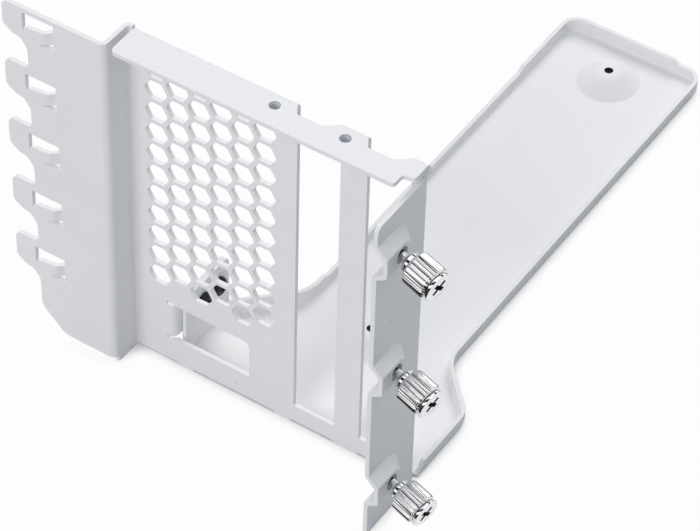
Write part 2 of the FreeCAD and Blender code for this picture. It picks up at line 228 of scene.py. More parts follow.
class Sheet(Nodes):
    """Node sheet of one material round its Principled shader."""

    soft_samples: int = 6

    def __init__(self, name: str) -> None:
        """Starts a material with its shader alone.

        Args:
            name: name of the new material.
        """
        self.material = bpy.data.materials.new(name)
        self.material.use_nodes = True
        super().__init__(self.material.node_tree)
        self.shader = self.tree.nodes["Principled BSDF"]

    def group(self, tree: bpy.types.NodeTree, **values: float) -> bpy.types.Node:
        """Places a shared group that reads the object's own coordinates.

        Args:
            tree: the shared node group.
            **values: numbers for its inputs, by name with underscores for spaces.

        Returns:
            The group's node.
        """
        node = self.add("ShaderNodeGroup")
        node.node_tree = tree
        place = self.add("ShaderNodeTexCoord")
        self.fill(node, Place=place.outputs["Object"], **values)
        return node

    def bump(self, height: bpy.types.NodeSocket, depth: float, radius: float) -> None:
        """Feeds the shader's normal with fine relief over softened edges.

        Args:
            height: the relief, from 0 to 1.
            depth: depth of the relief in metres.
            radius: radius of the softened edges in metres.
        """
        edge = self.add("ShaderNodeBevel", samples=self.soft_samples)
        edge.inputs["Radius"].default_value = radius
        relief = self.add("ShaderNodeBump")
        self.fill(relief, Strength=1.0, Distance=depth, Height=height)
        self.fill(relief, Normal=edge.outputs["Normal"])
        self.fill(self.shader, Normal=relief.outputs["Normal"])


@dataclass(frozen=True)
class Grain:
    """Shared surface grain: fine peel, broad cloud and rare specks."""

    inputs: tuple[tuple[str, float], ...] = (("Fine", 2500.0), ("Broad", 40.0), ("Share", 0.5))
    outputs: tuple[str, ...] = ("Relief", "Cloud", "Speck")
    fine_detail: float = 2.0
    broad_detail: float = 3.0
    speck_scale: float = 90.0
    speck_core: float = 0.012
    speck_rim: float = 0.022

    def make(self) -> bpy.types.NodeTree:
        """Builds the node group.

        Returns:
            A group with Place and the named inputs, and with the named outputs.
        """
        tree = bpy.data.node_groups.new("surface_grain", "ShaderNodeTree")
        tree.interface.new_socket("Place", in_out="INPUT", socket_type="NodeSocketVector")
        for name, value in self.inputs:
            socket = tree.interface.new_socket(name, in_out="INPUT", socket_type="NodeSocketFloat")
            socket.default_value = value
        for name in self.outputs:
            tree.interface.new_socket(name, in_out="OUTPUT", socket_type="NodeSocketFloat")
        nodes = Nodes(tree)
        given = nodes.add("NodeGroupInput").outputs
        result = nodes.add("NodeGroupOutput")
        place, fine_scale = given["Place"], given["Fine"]
        fine = nodes.add("ShaderNodeTexNoise")
        nodes.fill(fine, Vector=place, Scale=fine_scale, Detail=self.fine_detail)
        broad = nodes.add("ShaderNodeTexNoise")
        nodes.fill(broad, Vector=place, Scale=given["Broad"], Detail=self.broad_detail)
        cells = nodes.add("ShaderNodeTexVoronoi", feature="SMOOTH_F1")
        nodes.fill(cells, Vector=place, Scale=fine_scale)
        peel = nodes.add("ShaderNodeMix")
        sources = (given["Share"], fine.outputs["Fac"], cells.outputs["Distance"])
        for number, source in zip((0, 2, 3), sources):
            nodes.feed(peel.inputs[number], source)
        rare = nodes.add("ShaderNodeTexVoronoi")
        nodes.fill(rare, Vector=place, Scale=self.speck_scale)
        speck = nodes.span(
            rare.outputs["Distance"],
            From_Min=self.speck_core,
            From_Max=self.speck_rim,
            To_Min=1.0,
            To_Max=0.0,
        )
        nodes.fill(result, Relief=peel.outputs[0], Cloud=broad.outputs["Fac"], Speck=speck)
        return tree


@dataclass(frozen=True)
class CoatFinish:
    """White powder coat on sheet steel."""

    name: str = "white_powder_coat"
    low: Colour = (0.85, 0.845, 0.855)
    high: Colour = (0.88, 0.875, 0.88)
    speck: Colour = (0.30, 0.30, 0.32)
    roughness: float = 0.42
    spread: float = 0.08
    specular: float = 0.4
    fine: float = 1500.0
    broad: float = 35.0
    share: float = 0.5
    peel: float = 0.000012
    edge: float = 0.0002

    def make(self, grain: bpy.types.NodeTree) -> bpy.types.Material:
        """Builds the material.

        Args:
            grain: the shared grain group.

        Returns:
            The finished material.
        """
        sheet = Sheet(self.name)
        mask = sheet.group(grain, Fine=self.fine, Broad=self.broad, Share=self.share).outputs
        cloudy = sheet.blend(mask["Cloud"], self.low, self.high)
        speckled = sheet.blend(mask["Speck"], cloudy, self.speck)
        rough = sheet.span(
            mask["Relief"],
            To_Min=self.roughness - self.spread,
            To_Max=self.roughness + self.spread,
        )
        sheet.fill(sheet.shader, Base_Color=speckled, Roughness=rough)
        sheet.shader.inputs["Specular IOR Level"].default_value = self.specular
        sheet.bump(mask["Relief"], self.peel, self.edge)
        return sheet.material


@dataclass(frozen=True)
class MetalFinish:
    """Plated or blackened screw metal, or a near-black painted shade."""

    name: str
    low: Colour
    high: Colour
    metallic: float
    roughness: float
    spread: float
    relief: float
    edge: float
    fine: float = 2600.0
    broad: float = 260.0
    share: float = 0.2
    smoothest: float = 0.02

    def make(self, grain: bpy.types.NodeTree) -> bpy.types.Material:
        """Builds the material.

        Args:
            grain: the shared grain group.

        Returns:
            The finished material.
        """
        sheet = Sheet(self.name)
        mask = sheet.group(grain, Fine=self.fine, Broad=self.broad, Share=self.share).outputs
        rough = sheet.span(
            mask["Cloud"],
            To_Min=max(self.smoothest, self.roughness - self.spread),
            To_Max=self.roughness + self.spread,
        )
        colour = sheet.blend(mask["Cloud"], self.low, self.high)
        sheet.fill(sheet.shader, Base_Color=colour, Metallic=self.metallic, Roughness=rough)
        sheet.bump(mask["Relief"], self.relief, self.edge)
        return sheet.material


CHROME = MetalFinish(
    name="bright_chrome_plate",
    low=(0.86, 0.87, 0.88),
    high=(0.93, 0.93, 0.94),
    metallic=1.0,
    roughness=0.09,
    spread=0.04,
    relief=0.000001,
    edge=0.0001,
)
BLACK = MetalFinish(
    name="black_oxide_steel",
    low=(0.012, 0.012, 0.013),
    high=(0.03, 0.03, 0.032),
    metallic=0.6,
    roughness=0.38,
    spread=0.08,
    relief=0.000003,
    edge=0.0001,
)
# Painted shade: near-black dull metal laid in the thumb screws' crosses and grooves, on their
# parts behind the sheet and in the bosses' threads, where shade falls.
SHADE = MetalFinish(
    name="painted_recess_shade",
    low=(0.008, 0.008, 0.009),
    high=(0.02, 0.02, 0.022),
    metallic=0.5,
    roughness=0.35,
    spread=0.08,
    relief=0.000002,
    edge=0.00005,
)
BARE = MetalFinish(
    name="bare_thread_steel",
    low=(0.52, 0.56, 0.61),
    high=(0.66, 0.70, 0.75),
    metallic=0.25,
    roughness=0.36,
    spread=0.08,
    relief=0.000002,
    edge=0.00005,
)


@dataclass
class Viewpoint:
    """Camera at the photograph's viewing angle."""

    place: Point = (0.340805, -0.521920, 0.579232)
    aim: Point = (-0.368850, 0.584080, -0.723049)
    roll_deg: float = 1.70
    lens_mm: float = 183.08
    sensor_mm: float = 36.0
    shift: tuple[float, float] = (0.0094, 0.0987)
    reach: tuple[float, float] = (0.01, 20.0)

    def build(self) -> bpy.types.Object:
        """Makes the camera and gives it to the scene.

        Returns:
            The camera's object.
        """
        data = bpy.data.cameras.new("camera")
        data.lens = self.lens_mm
        data.sensor_width = self.sensor_mm
        data.shift_x, data.shift_y = self.shift
        data.clip_start, data.clip_end = self.reach
        forward = Vector(self.aim).normalized()
        level = forward.cross(Vector((0.0, 0.0, 1.0))).normalized()
        above = level.cross(forward)
        roll = math.radians(self.roll_deg)
        right = math.cos(roll) * level + math.sin(roll) * above
        up = math.cos(roll) * above - math.sin(roll) * level
        turn = Matrix((right, up, -forward)).transposed().to_4x4()
        camera = bpy.data.objects.new("camera", data)
        camera.matrix_world = Matrix.Translation(self.place) @ turn
        bpy.context.scene.collection.objects.link(camera)
        bpy.context.scene.camera = camera
        return camera


@dataclass(frozen=True)
class Lamp:
    """Square soft lamp that points at the object and isn't mirrored in it."""

    name: str
    toward: Point
    power: float
    far: float = 1.6
    wide: float = 0.9
    tint: Colour = (1.0, 0.965, 0.95)

    def build(self) -> bpy.types.Object:
        """Hangs the lamp.

        Returns:
            The lamp's object.
        """
        data = bpy.data.lights.new(self.name, "AREA")
        data.shape = "SQUARE"
        data.size = self.wide
        data.energy = self.power
        data.color = self.tint
        lamp = bpy.data.objects.new(self.name, data)
        direction = Vector(self.toward).normalized()
        turn = (-direction).to_track_quat("-Z", "Y").to_matrix().to_4x4()
        lamp.matrix_world = Matrix.Translation(direction * self.far) @ turn
        lamp.visible_glossy = False
        bpy.context.scene.collection.objects.link(lamp)
        return lamp


@dataclass
class Studio:
    """Pale floor, banded sky and two large soft lamps."""

    floor_half: float = 1.6
    floor_colour: Colour = (0.48, 0.50, 0.52)
    floor_mirrored: Colour = (0.90, 0.90, 0.90)
    floor_mirrored_front: Colour = (0.02, 0.02, 0.02)
    floor_edge: float = 0.05
    floor_roughness: float = 0.9
    floor_specular: float = 0.1
    floor_white: float = 0.97
    contact: float = 0.006
    contact_dark: float = 0.3
    contact_clear: float = 0.6
    contact_samples: int = 6
    sky: float = 0.43
    sky_tint: Colour = (0.84, 0.92, 1.0)
    bands: tuple[tuple[float, float], ...] = (
        (0.00, 0.02),
        (0.06, 0.02),
        (0.08, 1.10),
        (0.20, 1.20),
        (0.22, 0.02),
        (0.36, 0.03),
        (0.38, 1.20),
        (0.68, 1.10),
        (0.70, 0.05),
        (0.78, 0.05),
        (0.80, 1.00),
        (0.95, 0.90),
        (0.97, 0.03),
    )
    lamps: tuple[Lamp, ...] = (
        Lamp("key_lamp", (-0.05, -0.60, 0.42), 13.4),
        Lamp("back_lamp", (-0.15, 0.75, 0.62), 14.4),
    )

    def paper(self) -> bpy.types.Material:
        """Builds the floor's paper: white to the camera but for the shadow at a contact.

        Light falls on a pale grey, and mirrors see white behind the object and dark before it.

        Returns:
            The material.
        """
        sheet = Sheet("studio_paper")
        path = sheet.add("ShaderNodeLightPath").outputs
        behind = sheet.maths("GREATER_THAN", sheet.parts("Object").outputs["Y"], -self.floor_edge)
        mirrored = sheet.blend(behind, self.floor_mirrored_front, self.floor_mirrored)
        colour = sheet.blend(path["Is Glossy Ray"], self.floor_colour, mirrored)
        sheet.fill(sheet.shader, Base_Color=colour, Roughness=self.floor_roughness)
        sheet.shader.inputs["Specular IOR Level"].default_value = self.floor_specular
        near = sheet.add("ShaderNodeAmbientOcclusion", samples=self.contact_samples)
        near.inputs["Distance"].default_value = self.contact
        clear = sheet.span(
            near.outputs["AO"],
            From_Min=self.contact_dark,
            From_Max=self.contact_clear,
        )
        white = sheet.maths("MULTIPLY", clear, self.floor_white)
        share = sheet.maths("MULTIPLY", path["Is Camera Ray"], white)
        glow = sheet.add("ShaderNodeEmission")
        mix = sheet.either(share, sheet.shader.outputs[0], glow.outputs[0])
        sheet.fill(sheet.tree.nodes["Material Output"], Surface=mix)
        return sheet.material

    def floor(self, height: float) -> bpy.types.Object:
        """Builds the floor under the object.

        Args:
            height: height of the floor.

        Returns:
            The floor's object.
        """
        mesh = bmesh.new()
        bmesh.ops.create_grid(mesh, x_segments=1, y_segments=1, size=self.floor_half)
        bmesh.ops.translate(mesh, verts=mesh.verts, vec=(0.0, 0.0, height))
        floor = finished(mesh, "studio_floor")
        floor.data.materials.append(self.paper())
        floor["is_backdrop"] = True
        return floor

    def band_colour(self, sky: Nodes) -> bpy.types.NodeSocket:
        """Builds the bright and dark bands, by the angle about the X axis.

        Args:
            sky: the world's nodes.

        Returns:
            The colour's socket.
        """
        parts = sky.parts("Generated").outputs
        front = sky.maths("MULTIPLY", parts["Y"], -1.0)
        share = sky.maths("DIVIDE", sky.maths("ARCTAN2", parts["Z"], front), math.pi)
        ramp = sky.add("ShaderNodeValToRGB")
        sky.feed(ramp.inputs[0], share)
        points = ramp.color_ramp.elements
        while len(points) < len(self.bands):
            points.new(0.5)
        for point, (where, level) in zip(points, self.bands):
            point.position = where
            point.color = (level, level, level, 1.0)
        return ramp.outputs["Color"]

    def world(self) -> None:
        """Builds the sky: white to the camera, even to matt faces and banded to mirrors."""
        world = bpy.data.worlds.new("studio_sky")
        world.use_nodes = True
        world.node_tree.nodes.clear()
        sky = Nodes(world.node_tree)
        path = sky.add("ShaderNodeLightPath").outputs
        even, white, banded = (sky.add("ShaderNodeBackground") for _ in range(3))
        sky.fill(even, Color=self.sky_tint, Strength=self.sky)
        sky.fill(white, Color=WHITE)
        sky.fill(banded, Color=self.band_colour(sky))
        mirror = sky.either(path["Is Glossy Ray"], even.outputs[0], banded.outputs[0])
        seen = sky.either(path["Is Camera Ray"], mirror, white.outputs[0])
        sky.fill(sky.add("ShaderNodeOutputWorld"), Surface=seen)
        bpy.context.scene.world = world

    def build(self, height: float) -> None:
        """Sets up the floor, the sky and the lamps.

        Args:
            height: height of the floor.
        """
        self.floor(height)
        self.world()
        for lamp in self.lamps:
            lamp.build()


def finished(mesh: bmesh.types.BMesh, name: str) -> bpy.types.Object:
    """Turns a mesh in the making into an object at the origin.

    Args:
        mesh: the mesh, freed here.
        name: name of the new object.

    Returns:
        The new object.
    """
    data = bpy.data.meshes.new(name)
    mesh.to_mesh(data)
    mesh.free()
    thing = bpy.data.objects.new(name, data)
    bpy.context.scene.collection.objects.link(thing)
    return thing


def dress(thing: bpy.types.Object, *materials: bpy.types.Material) -> None:
    """Adds materials to an object that has none, in the order of its faces' indices.

    Args:
        thing: the object.
        *materials: its materials.
    """
    for material in materials:
        thing.data.materials.append(material)


def shaded(mesh: bmesh.types.BMesh, crease: float) -> None:
    """Shades a mesh smooth but for its creases.

    Args:
        mesh: the mesh to change.
        crease: smallest angle, in radians, that stays sharp.
    """
    for edge in mesh.edges:
        edge.smooth = edge.is_manifold and edge.calc_face_angle() < crease
    for face in mesh.faces:
        face.smooth = True


@dataclass
class Vent:
    """Staggered hexagons of the rear plate, whose cut corners are drawn out to fine ones."""

    left: float = -48.06 * MM
    foot: float = -82.6 * MM
    column_pitch: float = 6.54 * MM
    row_pitch: float = 7.19 * MM
    columns: int = 6
    rows: int = 10
    flats: float = 6.1 * MM
    corner_cut: float = 0.6 * MM
    fine_cut: float = 0.35 * MM
    plate: tuple[float, float] = (3.4 * MM, 4.8 * MM)
    slack: float = 0.02 * MM

    def centre(self, place: Vector) -> tuple[float, float] | None:
        """Finds the hexagon whose cell a point is in.

        Args:
            place: the point.

        Returns:
            The hexagon's centre as (x, z), or None off the vent.
        """
        if not self.plate[0] < place.y < self.plate[1]:
            return None
        column = round((place.x - self.left) / self.column_pitch)
        shift = 0.5 * (column % 2)
        row = round((place.z - self.foot) / self.row_pitch - shift)
        if not (0 <= column < self.columns and 0 <= row < self.rows + 1 - column % 2):
            return None
        return (
            self.left + self.column_pitch * column,
            self.foot + self.row_pitch * (row + shift),
        )

    def draw_corners(self, mesh: bmesh.types.BMesh) -> int:
        """Moves the vent's corner points out along the flats.

        Args:
            mesh: the merged copy of the bracket.

        Returns:
            How many points moved.
        """
        side = self.flats / math.sqrt(3)
        reach = math.hypot(self.flats / 2, side / 2 - self.corner_cut)
        share = self.fine_cut / self.corner_cut
        sixth = math.pi / 3
        moved = 0
        for vert in mesh.verts:
            centre = self.centre(vert.co)
            if centre is None:
                continue
            x, z = centre
            if abs(math.hypot(vert.co.x - x, vert.co.z - z) - reach) > self.slack:
                continue
            turn = round(math.atan2(vert.co.z - z, vert.co.x - x) / sixth) * sixth
            corner_x = x + side * math.cos(turn)
            corner_z = z + side * math.sin(turn)
            vert.co.x = corner_x + (vert.co.x - corner_x) * share
            vert.co.z = corner_z + (vert.co.z - corner_z) * share
            moved += 1
        return moved


@dataclass
class Sheets:
    """The folded bracket and the drawn tray."""

    crease: float = 0.6
    merge: float = 1e-6

    def build(self, nodes: dict[str, bpy.types.Object], coat: bpy.types.Material) -> None:
        """Coats the tray, and the bracket with the fine corners of its vent.

        Args:
            nodes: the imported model's nodes.
            coat: the powder coat.
        """
        source = nodes["main_bracket"]
        for sheet in (nodes["support_tray"], source):
            sheet.data.materials.clear()
            dress(sheet, coat)
        mesh = bmesh.new()
        mesh.from_mesh(source.data)
        bmesh.ops.transform(mesh, matrix=source.matrix_world, verts=mesh.verts)
        bmesh.ops.remove_doubles(mesh, verts=mesh.verts, dist=self.merge)
        moved = Vent().draw_corners(mesh)
        shaded(mesh, self.crease)
        bracket = finished(mesh, "vented_bracket")
        even = bracket.modifiers.new("even_shading", "WEIGHTED_NORMAL")
        even.keep_sharp = True
        dress(bracket, coat)
        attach(bracket, Body.BRACKET.value)
        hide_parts("main_bracket")
        LOG.info("coated the sheets, %d vent corners drawn out", moved)


@dataclass
class Turned:
    """Mesh tools for pieces turned about the X axis.

    A ridge's half width is a share of its pitch, a rib's chamfer and foot are shares of
    its depth, and a cross narrows at its floor to shares of its length and width.
    """

    steps: int = 64
    sharp: float = 0.5
    merge: float = 1e-7
    ridge_steps: int = 28
    ridge_half: float = 0.42
    rib_steps: int = 8
    rib_chamfer: float = 1.1
    rib_foot: float = 1.5
    cross_narrow: tuple[float, float] = (0.45, 0.7)
    cross_proud: float = 0.2

    def lathe(self, outline: list[tuple[float, float]], soft: float = 0.0) -> bmesh.types.BMesh:
        """Spins a half section into a closed shell.

        Args:
            outline: (x, radius) corners from end to end.
            soft: width of the softened edges, or 0.

        Returns:
            The shell, with its faces outward.
        """
        mesh = bmesh.new()
        verts = [mesh.verts.new((x, 0.0, radius)) for x, radius in outline]
        edges = [mesh.edges.new(pair) for pair in zip(verts, verts[1:])]
        bmesh.ops.spin(
            mesh,
            geom=verts + edges,
            cent=(0.0, 0.0, 0.0),
            axis=(1.0, 0.0, 0.0),
            angle=2 * math.pi,
            steps=self.steps,
            use_merge=True,
        )
        bmesh.ops.remove_doubles(mesh, verts=mesh.verts, dist=self.merge)
        bmesh.ops.recalc_face_normals(mesh, faces=mesh.faces)
        if soft > 0.0:
            self.soften(mesh, soft)
        return mesh

    def soften(self, mesh: bmesh.types.BMesh, width: float) -> None:
        """Rounds every sharp edge of a mesh.

        Args:
            mesh: the mesh to change.
            width: width of the rounding.
        """
        sharp = [e for e in mesh.edges if e.is_manifold and e.calc_face_angle() > self.sharp]
        bmesh.ops.bevel(
            mesh,
            geom=sharp,
            offset=width,
            affect="EDGES",
            segments=2,
            profile=0.5,
            material=-1,
            clamp_overlap=True,
        )

    def helix(
        self,
        start: float,
        length: float,
        root: float,
        crest: float,
        pitch: float,
    ) -> bmesh.types.BMesh:
        """Winds one thread ridge about the X axis.

        Args:
            start: where the ridge begins.
            length: length along the axis.
            root: radius of the buried foot of the ridge.
            crest: radius of its crest, inside the foot for a tapped hole.
            pitch: distance from turn to turn.

        Returns:
            The ridge as a closed shell.
        """
        mesh = bmesh.new()
        across = pitch * self.ridge_half
        section = ((start - across, root), (start, crest), (start + across, root))
        verts = [mesh.verts.new((x, 0.0, radius)) for x, radius in section]
        edges = [mesh.edges.new((verts[i], verts[(i + 1) % 3])) for i in range(3)]
        turns = max(1.0, length / pitch)
        count = int(self.ridge_steps * turns)
        bmesh.ops.spin(
            mesh,
            geom=verts + edges,
            cent=(0.0, 0.0, 0.0),
            axis=(1.0, 0.0, 0.0),
            dvec=(length / count, 0.0, 0.0),
            angle=2 * math.pi * turns,
            steps=count,
        )
        bmesh.ops.holes_fill(mesh, edges=mesh.edges, sides=3)
        bmesh.ops.recalc_face_normals(mesh, faces=mesh.faces)
        return mesh

    def ribbed(
        self,
        start: float,
        length: float,
        radius: float,
        depth: float,
        ribs: int,
    ) -> bmesh.types.BMesh:
        """Raises rounded ribs round a grip.

        Args:
            start: where the grip begins.
            length: length along the axis.
            radius: radius over the ribs.
            depth: depth of the grooves.
            ribs: number of ribs.

        Returns:
            The grip as a closed shell with broken ends.
        """
        chamfer = depth * self.rib_chamfer
        foot = radius - depth * self.rib_foot
        rise = radius - depth * 0.5
        stations = (
            (0.0, foot, 0.0),
            (chamfer * 0.6, rise, 0.55),
            (chamfer * 1.3, radius, 1.0),
            (length - chamfer * 1.3, radius, 1.0),
            (length - chamfer * 0.6, rise, 0.55),
            (length, foot, 0.0),
        )
        mesh = bmesh.new()
        around = self.rib_steps * ribs
        bmesh.ops.create_circle(mesh, cap_ends=True, segments=around, radius=1.0)
        rows = [list(mesh.verts)]
        edges = list(mesh.edges)
        for _ in stations[1:]:
            grown = bmesh.ops.extrude_edge_only(mesh, edges=edges)["geom"]
            rows.append([part for part in grown if isinstance(part, bmesh.types.BMVert)])
            row = set(rows[-1])
            edges = [part for part in grown if isinstance(part, bmesh.types.BMEdge)]
            edges = [edge for edge in edges if all(vert in row for vert in edge.verts)]
        bmesh.ops.contextual_create(mesh, geom=edges)
        for row, (x, reach, share) in zip(rows, stations):
            for vert in row:
                angle = math.atan2(vert.co.y, vert.co.x)
                groove = 0.5 - 0.5 * math.cos(angle * ribs)
                far = reach - depth * share * groove
                vert.co = (start + x, far * math.cos(angle), far * math.sin(angle))
        bmesh.ops.recalc_face_normals(mesh, faces=mesh.faces)
        return mesh

    def cross(self, face: float, reach: float, width: float, depth: float) -> bmesh.types.BMesh:
        """Makes the tool shape of a cross recess in a face that looks along +X.

        Args:
            face: place of the face.
            reach: half the length of the arms.
            width: width of the arms.
            depth: depth of the recess.

        Returns:
            The tool shape, whose faces carry the second material.
        """
        mesh = bmesh.new()
        for turn in (0.0, math.pi / 2):
            arm = bmesh.ops.create_cube(mesh, size=2.0)["verts"]
            for vert in arm:
                deep = vert.co.x < 0
                along, across = self.cross_narrow if deep else (1.0, 1.0)
                vert.co.x = face - depth if deep else face + depth * self.cross_proud
                vert.co.y *= reach * along
                vert.co.z *= width / 2 * across
            bmesh.ops.rotate(
                mesh,
                verts=arm,
                cent=(0.0, 0.0, 0.0),
                matrix=Matrix.Rotation(turn, 3, "X"),
            )
        for wall in mesh.faces:
            wall.material_index = 1
        return mesh


def carved(blank: bmesh.types.BMesh, tool: bmesh.types.BMesh) -> bmesh.types.BMesh:
    """Cuts a tool shape out of a blank.

    Args:
        blank: the closed shell to cut, freed here.
        tool: the shape to take out, freed here.

    Returns:
        The carved shell, which keeps the material indices of both.
    """
    body = finished(blank, "carve_blank")
    cutter = finished(tool, "carve_tool")
    scratch = [bpy.data.materials.new(name) for name in ("carve_outer", "carve_inner")]
    for thing in (body, cutter):
        dress(thing, *scratch)
    cut = body.modifiers.new("carve", "BOOLEAN")
    cut.operation = "DIFFERENCE"
    cut.solver = "EXACT"
    cut.use_self = True
    cut.object = cutter
    graph = bpy.context.evaluated_depsgraph_get()
    mesh = bmesh.new()
    mesh.from_mesh(body.evaluated_get(graph).to_mesh())
    for thing in (body, cutter):
        data = thing.data
        bpy.data.objects.remove(thing)
        bpy.data.meshes.remove(data)
    for material in scratch:
        bpy.data.materials.remove(material)
    return mesh


def joined(
    name: str,
    shells: list[bmesh.types.BMesh],
    place: Matrix,
    crease: float = 0.6,
) -> bpy.types.Object:
    """Joins shells into one finished piece.

    Args:
        name: name of the piece.
        shells: the shells, freed here.
        place: where the piece goes.
        crease: smallest angle, in radians, that stays sharp.

    Returns:
        The piece's object.
    """
    whole = bmesh.new()
    for shell in shells:
        holder = bpy.data.meshes.new("holder")
        shell.to_mesh(holder)
        shell.free()
        whole.from_mesh(holder)
        bpy.data.meshes.remove(holder)
    bmesh.ops.transform(whole, matrix=place, verts=whole.verts)
    shaded(whole, crease)
    return finished(whole, name)


@dataclass
class ThumbScrew:
    """Captive thumb screw with a ribbed head, built along +X from its hole's centre.

    The cap's chamfer and round are each a run along X and a drop of the radius.
    """

    tilt_deg: float = 15.0
    lean_deg: float = 45.0
    seat: float = 0.65 * MM
    soft: float = 0.08 * MM
    neck_r: float = 1.2 * MM
    neck_out: float = 2.6 * MM
    # Along the neck, the faces behind this point take the painted shade.
    recess: float = 0.45 * MM
    collar_r: float = 2.9 * MM
    collar: float = 1.8 * MM
    collar_chamfer: float = 0.5 * MM
    collar_sunk: float = 0.3 * MM
    head_r: float = 4.6 * MM
    head: float = 7.2 * MM
    groove_r: float = 3.75 * MM
    groove: float = 0.4 * MM
    groove_sunk: float = 0.6 * MM
    groove_slack: float = 0.02 * MM
    cap_r: float = 4.2 * MM
    cap: float = 0.9 * MM
    cap_foot_chamfer: tuple[float, float] = (0.15 * MM, 0.1 * MM)
    cap_shoulder: float = 0.4 * MM
    cap_round: tuple[float, float] = (0.12 * MM, 0.13 * MM)
    cap_rim: float = 0.42 * MM
    ribs: int = 22
    rib_depth: float = 0.55 * MM
    keeper_r: float = 2.6 * MM
    keeper: float = 0.8 * MM
    thread_r: float = 1.7 * MM
    thread: float = 3.0 * MM
    thread_depth: float = 0.35 * MM
    thread_start: float = 0.5 * MM
    thread_short: float = 0.9 * MM
    thread_root: float = 0.1 * MM
    tip_chamfer: float = 0.3 * MM
    pitch: float = 0.7 * MM
    cross_reach: float = 2.55 * MM
    cross_width: float = 1.3 * MM
    cross_depth: float = 1.3 * MM

    def place(self, centre: Vector) -> Matrix:
        """Gives the placement of a screw that droops in its hole.

        Args:
            centre: centre of the hole.

        Returns:
            The placement.
        """
        tilt = Matrix.Rotation(math.radians(self.tilt_deg), 4, "Y")
        lean = Matrix.Rotation(math.radians(-self.lean_deg), 4, "X")
        return Matrix.Translation(centre) @ lean @ tilt

    def shank(self, tail: float, back: float, keeper: float) -> bmesh.types.BMesh:
        """Turns the tail, the keeper, the neck and the collar.

        Args:
            tail: end of the threaded tail.
            back: back face of the keeper.
            keeper: front face of the keeper.

        Returns:
            The shell, with the second material, a painted shade, behind the sheet.
        """
        core = self.thread_r - self.thread_depth
        sunk = self.neck_out + self.collar + self.collar_sunk
        shank = Turned().lathe(
            [
                (tail, 0.0),
                (tail, core - self.tip_chamfer),
                (tail + self.tip_chamfer, core),
                (back, core),
                (back, self.keeper_r),
                (keeper, self.keeper_r),
                (keeper, self.neck_r),
                (self.recess, self.neck_r),
                (self.neck_out, self.neck_r),
                (self.neck_out, self.collar_r - self.collar_chamfer),
                (self.neck_out + self.collar_chamfer, self.collar_r),
                (sunk, self.collar_r),
                (sunk, 0.0),
            ],
            self.soft,
        )
        # Painted shade: faces behind the recess point (the neck in the hole, the keeper and the
        # tail) take the near-black second material.
        for face in shank.faces:
            if face.calc_center_median().x < self.recess:
                face.material_index = 1
        return shank

    def crown(self, grip_end: float) -> bmesh.types.BMesh:
        """Turns the groove and the end cap, and cuts the cross into the cap.

        Args:
            grip_end: where the ribbed grip ends.

        Returns:
            The shell, with the second material, a painted shade, in the groove and the cross.
        """
        cap = grip_end + self.groove
        end = cap + self.cap
        foot_run, foot_drop = self.cap_foot_chamfer
        round_run, round_drop = self.cap_round
        blank = Turned().lathe(
            [
                (grip_end - self.groove_sunk, 0.0),
                (grip_end - self.groove_sunk, self.groove_r),
                (cap, self.groove_r),
                (cap, self.cap_r - foot_drop),
                (cap + foot_run, self.cap_r),
                (end - self.cap_shoulder, self.cap_r),
                (end - round_run, self.cap_r - round_drop),
                (end, self.cap_r - self.cap_rim),
                (end, 0.0),
            ]
        )
        tool = Turned().cross(end, self.cross_reach, self.cross_width, self.cross_depth)
        crown = carved(blank, tool)
        # Painted shade: the groove's faces take the near-black second material.
        for face in crown.faces:
            if face.calc_center_median().x < cap - self.groove_slack:
                face.material_index = 1
        return crown

    def build(self, name: str, centre: Vector) -> bpy.types.Object:
        """Builds one screw.

        Args:
            name: name of the piece.
            centre: centre of its hole.

        Returns:
            The screw's object.
        """
        tilt = math.radians(self.tilt_deg)
        keeper = (self.seat + self.keeper_r * math.sin(tilt)) / math.cos(tilt)
        back = -keeper - self.keeper
        tail = back - self.thread
        head = self.neck_out + self.collar
        shank = self.shank(tail, back, -keeper)
        grip = Turned().ribbed(head, self.head, self.head_r, self.rib_depth, self.ribs)
        crown = self.crown(head + self.head)
        ridge = Turned().helix(
            start=tail + self.thread_start,
            length=self.thread - self.thread_short,
            root=self.thread_r - self.thread_depth - self.thread_root,
            crest=self.thread_r,
            pitch=self.pitch,
        )
        return joined(name, [shank, grip, crown, ridge], self.place(centre))


@dataclass
class TrayScrew:
    """Pan head screw that holds the tray to the rear tab, built along +X.

    Each step of the dome is a share of the head's height and a drop of its radius.
    """

    steps: int = 48
    core_r: float = 1.2 * MM
    thread_r: float = 1.44 * MM
    thread_start: float = 0.6 * MM
    thread_short: float = 1.0 * MM
    thread_root: float = 0.08 * MM
    length: float = 4.1 * MM
    tip_chamfer: float = 0.4 * MM
    head_r: float = 2.8 * MM
    head: float = 1.8 * MM
    head_foot: float = 0.15 * MM
    dome: tuple[tuple[float, float], ...] = (
        (0.45, 0.0),
        (0.75, 0.22 * MM),
        (0.93, 0.6 * MM),
        (1.0, 1.1 * MM),
    )
    pitch: float = 0.5 * MM
    cross_reach: float = 1.5 * MM
    cross_width: float = 0.8 * MM
    cross_depth: float = 1.0 * MM

    def build(self, name: str, seat: Vector) -> bpy.types.Object:
        """Builds one screw.

        Args:
            name: name of the piece.
            seat: centre of the face under its head.

        Returns:
            The screw's object.
        """
        tools = Turned(steps=self.steps)
        blank = tools.lathe(
            [
                (-self.length, 0.0),
                (-self.length, self.core_r - self.tip_chamfer),
                (-self.length + self.tip_chamfer, self.core_r),
                (0.0, self.core_r),
                (0.0, self.head_r - self.head_foot),
                (self.head_foot, self.head_r),
                *((self.head * share, self.head_r - drop) for share, drop in self.dome),
                (self.head, 0.0),
            ]
        )
        tool = tools.cross(self.head, self.cross_reach, self.cross_width, self.cross_depth)
        ridge = tools.helix(
            start=-self.length + self.thread_start,
            length=self.length - self.thread_short,
            root=self.core_r - self.thread_root,
            crest=self.thread_r,
            pitch=self.pitch,
        )
        return joined(name, [carved(blank, tool), ridge], Matrix.Translation(seat))


